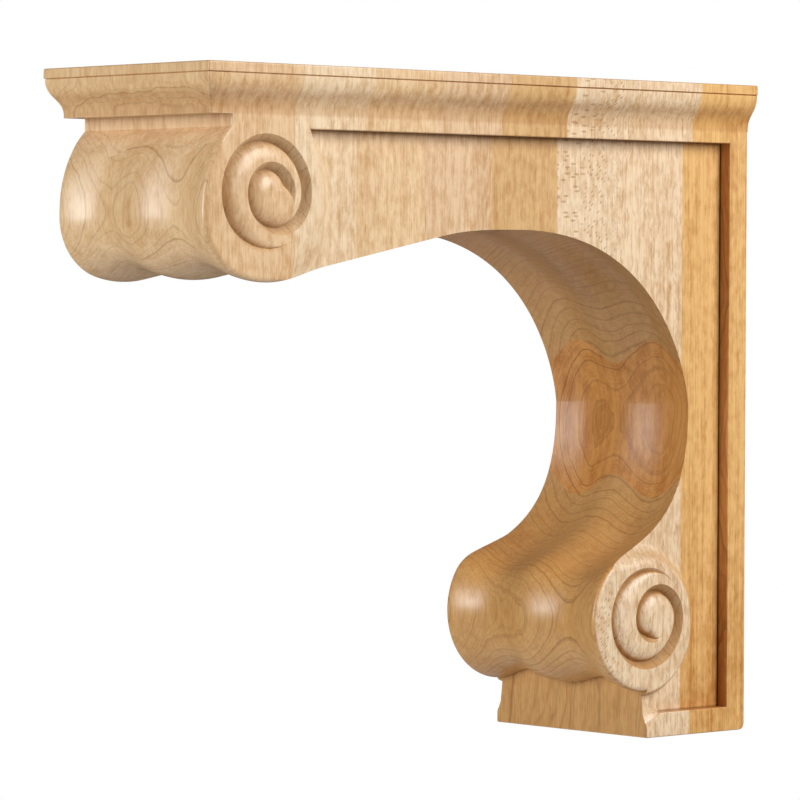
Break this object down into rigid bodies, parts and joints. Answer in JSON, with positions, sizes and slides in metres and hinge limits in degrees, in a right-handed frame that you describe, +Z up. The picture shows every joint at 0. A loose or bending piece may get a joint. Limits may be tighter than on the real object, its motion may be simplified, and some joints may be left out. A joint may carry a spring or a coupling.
{
  "type": "wooden corbel bracket",
  "caption": "Carved wooden corbel bracket with a moulded crown, wavy front, scroll volutes and a sunk side panel; holds up a counter or shelf from a wall.",
  "frame": {"origin": "middle of the flat back face that is fixed to the wall", "axes": "+Y into the wall, -Y the way the bracket reaches out, +Z up, X across the width"},
  "size_m": [0.1142, 0.3365, 0.3048],
  "materials": {
    "maple": "clear satin lacquer over sanded maple"
  },
  "bodies": {
    "root": {"corbel": "maple"}
  },
  "joints": []
}
